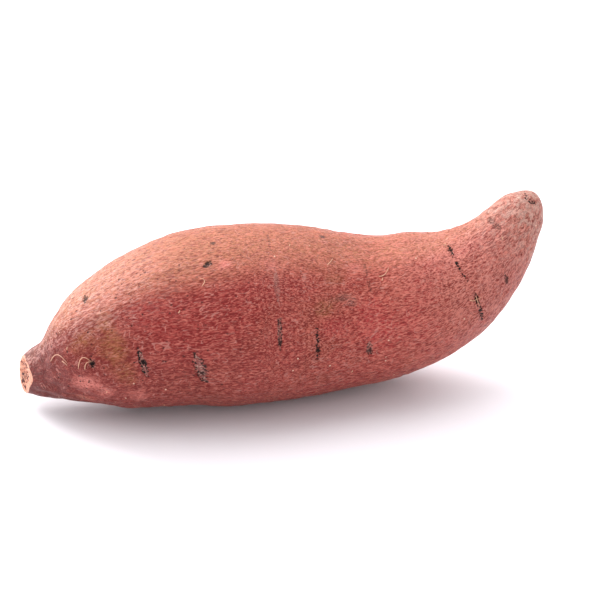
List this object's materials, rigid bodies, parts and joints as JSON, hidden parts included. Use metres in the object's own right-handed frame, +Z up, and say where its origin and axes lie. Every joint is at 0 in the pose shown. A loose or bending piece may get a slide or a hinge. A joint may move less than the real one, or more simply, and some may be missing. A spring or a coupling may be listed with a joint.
{
  "type": "sweet potato",
  "caption": "Whole raw sweet potato lying on its side: a thick belly tapering to a broken stem end and to a blunt root tip that curves up. Food to cook, weigh, pack or display.",
  "frame": {"origin": "on the ground, under the middle of the root's bounding box as it lies at rest", "axes": "+X runs from the broken stem end to the root tip; +Z is up; +Y is across the root, away from the side where the stem end points"},
  "size_m": [0.1998, 0.074, 0.0805],
  "materials": {
    "skin": "dull reddish root skin, rough and slightly powdery"
  },
  "bodies": {
    "root": {"sweet_potato": "skin"}
  },
  "joints": []
}
